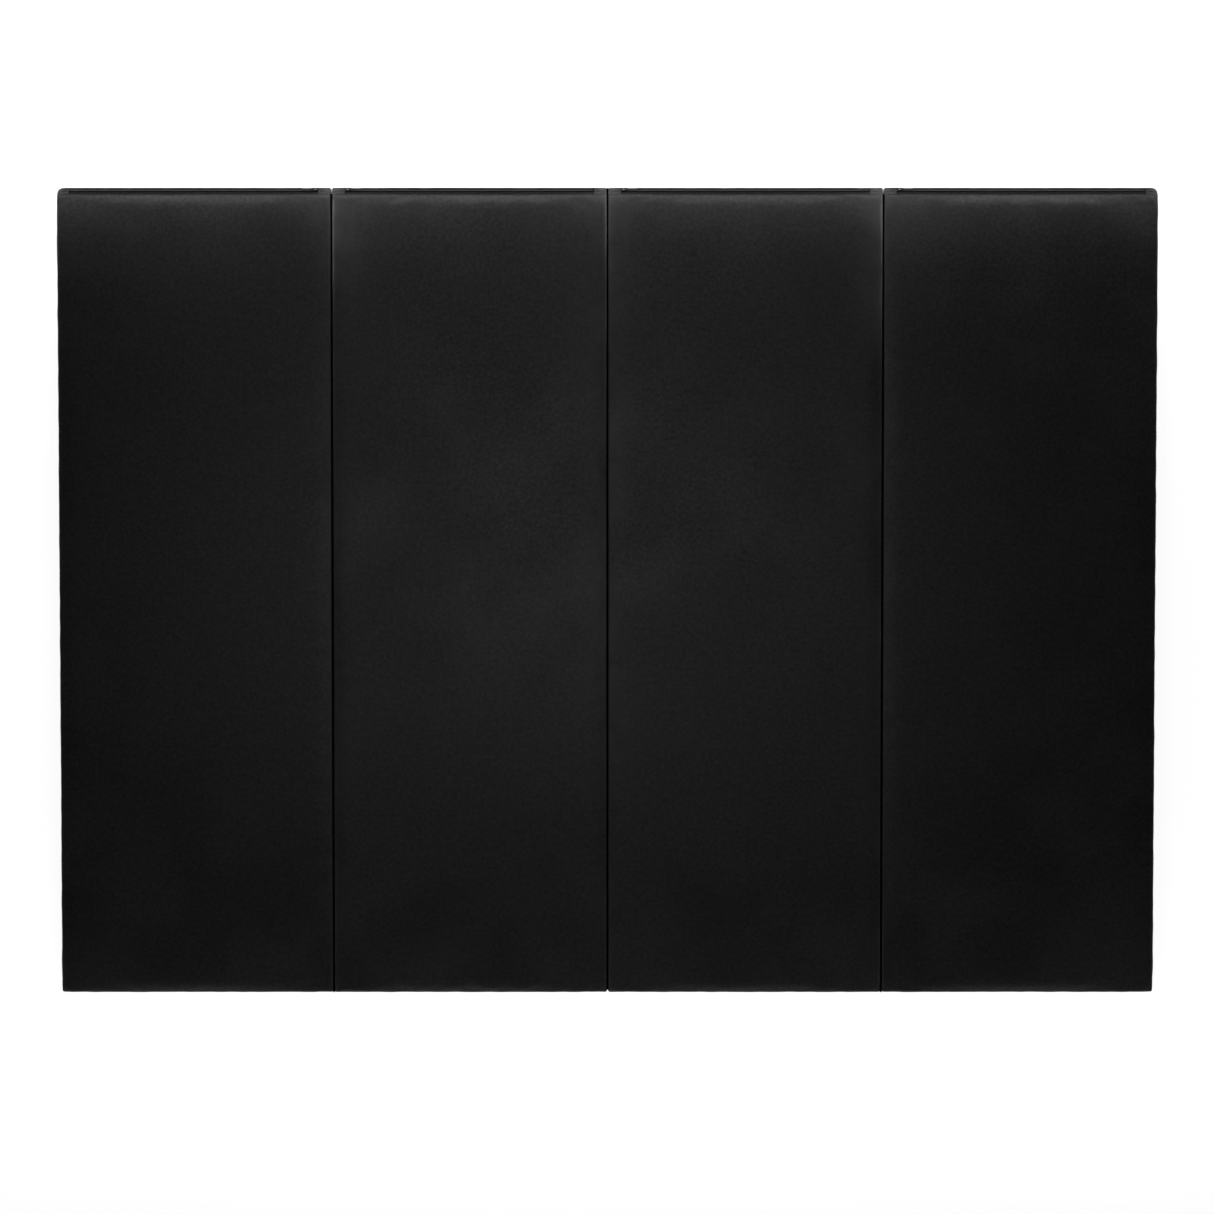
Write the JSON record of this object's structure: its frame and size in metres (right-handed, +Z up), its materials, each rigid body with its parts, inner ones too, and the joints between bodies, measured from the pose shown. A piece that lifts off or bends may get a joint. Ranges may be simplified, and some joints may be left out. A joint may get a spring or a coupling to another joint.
{
  "type": "folding gym mat",
  "caption": "Accordion-folding gym mat lying open: foam panels in zipped black vinyl covers, joined side by side by fabric hinge strips.",
  "frame": {"origin": "the middle of the open mat's footprint, on the floor, under the middle fold", "axes": "+X across the panels from panel 1 to panel 4, +Y along the panels towards the zipped ends, +Z up"},
  "size_m": [2.4384, 1.8352, 0.0508],
  "materials": {
    "cover_vinyl": "satin",
    "core_foam": "matte",
    "hinge_webbing": "matte",
    "zip_tape": "matte",
    "zip_metal": "satin"
  },
  "bodies": {
    "panel_1": {"foam_lower_1": "core_foam", "foam_upper_1": "core_foam", "cover_bottom_1": "cover_vinyl", "cover_top_1": "cover_vinyl", "side_gusset_1": "cover_vinyl", "zip_gusset_lower_1": "cover_vinyl", "zip_gusset_upper_1": "cover_vinyl", "zip_tape_1": "zip_tape", "hinge_1_left_leaf": "hinge_webbing"},
    "panel_2": {"foam_lower_2": "core_foam", "foam_upper_2": "core_foam", "cover_bottom_2": "cover_vinyl", "cover_top_2": "cover_vinyl", "side_gusset_2": "cover_vinyl", "zip_gusset_lower_2": "cover_vinyl", "zip_gusset_upper_2": "cover_vinyl", "zip_tape_2": "zip_tape", "hinge_1_right_leaf": "hinge_webbing", "hinge_2_left_leaf": "hinge_webbing"},
    "panel_3": {"foam_lower_3": "core_foam", "foam_upper_3": "core_foam", "cover_bottom_3": "cover_vinyl", "cover_top_3": "cover_vinyl", "side_gusset_3": "cover_vinyl", "zip_gusset_lower_3": "cover_vinyl", "zip_gusset_upper_3": "cover_vinyl", "zip_tape_3": "zip_tape", "hinge_2_right_leaf": "hinge_webbing", "hinge_3_left_leaf": "hinge_webbing"},
    "panel_4": {"foam_lower_4": "core_foam", "foam_upper_4": "core_foam", "cover_bottom_4": "cover_vinyl", "cover_top_4": "cover_vinyl", "side_gusset_4": "cover_vinyl", "zip_gusset_lower_4": "cover_vinyl", "zip_gusset_upper_4": "cover_vinyl", "zip_tape_4": "zip_tape", "hinge_3_right_leaf": "hinge_webbing"},
    "slider_1": {"zip_slider_1": "zip_metal"},
    "pull_1": {"zip_pull_1": "zip_metal"},
    "slider_2": {"zip_slider_2": "zip_metal"},
    "pull_2": {"zip_pull_2": "zip_metal"},
    "slider_3": {"zip_slider_3": "zip_metal"},
    "pull_3": {"zip_pull_3": "zip_metal"},
    "slider_4": {"zip_slider_4": "zip_metal"},
    "pull_4": {"zip_pull_4": "zip_metal"}
  },
  "joints": [
    {"name": "fold_1", "type": "hinge", "parent": "panel_1", "child": "panel_2", "pos_m": [-0.61085, -0.00315, 0.0513], "axis": [0, -1, 0], "range_deg": [0, 180]},
    {"name": "fold_2", "type": "hinge", "parent": "panel_2", "child": "panel_3", "pos_m": [0, -0.00315, -0.0005], "axis": [0, 1, 0], "range_deg": [0, 180]},
    {"name": "fold_3", "type": "hinge", "parent": "panel_3", "child": "panel_4", "pos_m": [0.61085, -0.00315, 0.0513], "axis": [0, -1, 0], "range_deg": [0, 180]},
    {"name": "zip_1", "type": "slide", "parent": "panel_1", "child": "slider_1", "axis": [-1, 0, 0], "range_m": [0, 0.534]},
    {"name": "zip_2", "type": "slide", "parent": "panel_2", "child": "slider_2", "axis": [1, 0, 0], "range_m": [0, 0.534]},
    {"name": "zip_3", "type": "slide", "parent": "panel_3", "child": "slider_3", "axis": [1, 0, 0], "range_m": [0, 0.534]},
    {"name": "zip_4", "type": "slide", "parent": "panel_4", "child": "slider_4", "axis": [1, 0, 0], "range_m": [0, 0.534]},
    {"name": "pull_swing_1", "type": "hinge", "parent": "slider_1", "child": "pull_1", "pos_m": [-0.64935, 0.9153, 0.0254], "axis": [0, 0, -1], "range_deg": [0, 180]},
    {"name": "pull_swing_2", "type": "hinge", "parent": "slider_2", "child": "pull_2", "pos_m": [-0.57235, 0.9153, 0.0254], "axis": [0, 0, 1], "range_deg": [0, 180]},
    {"name": "pull_swing_3", "type": "hinge", "parent": "slider_3", "child": "pull_3", "pos_m": [0.0385, 0.9153, 0.0254], "axis": [0, 0, 1], "range_deg": [0, 180]},
    {"name": "pull_swing_4", "type": "hinge", "parent": "slider_4", "child": "pull_4", "pos_m": [0.64935, 0.9153, 0.0254], "axis": [0, 0, 1], "range_deg": [0, 180]}
  ]
}
